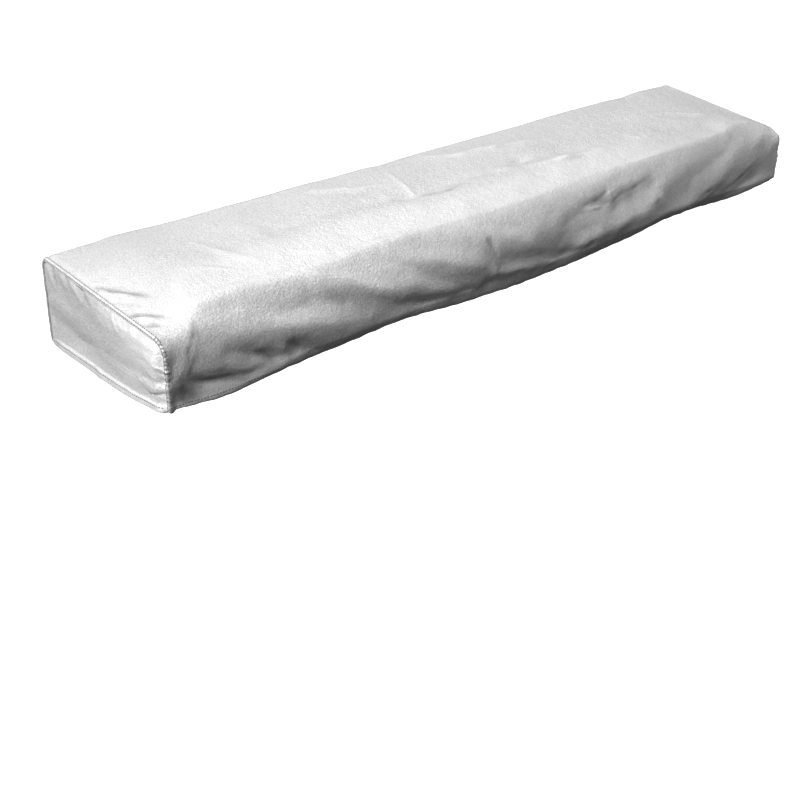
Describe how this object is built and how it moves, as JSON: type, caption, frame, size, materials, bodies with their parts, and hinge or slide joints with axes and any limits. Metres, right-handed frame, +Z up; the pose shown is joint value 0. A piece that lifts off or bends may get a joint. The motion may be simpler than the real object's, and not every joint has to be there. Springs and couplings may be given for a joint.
{
  "type": "keyboard cover",
  "caption": "Fitted dust cover for a digital piano keyboard: a long hollow shell of silver cloth, open below, sewn at both ends, with hems drawn in.",
  "frame": {"origin": "on the underside of the cover's top, midway along its length and its depth, where the keyboard holds it up", "axes": "+X along the cover, +Y to its high back edge, +Z up, out of the top"},
  "size_m": [1.41, 0.2808, 0.1468],
  "materials": {
    "silver_cloth": "thin woven polyester with a soft silver sheen"
  },
  "bodies": {
    "root": {"main_panel": "silver_cloth", "end_panel_left": "silver_cloth", "end_panel_right": "silver_cloth"}
  },
  "joints": []
}
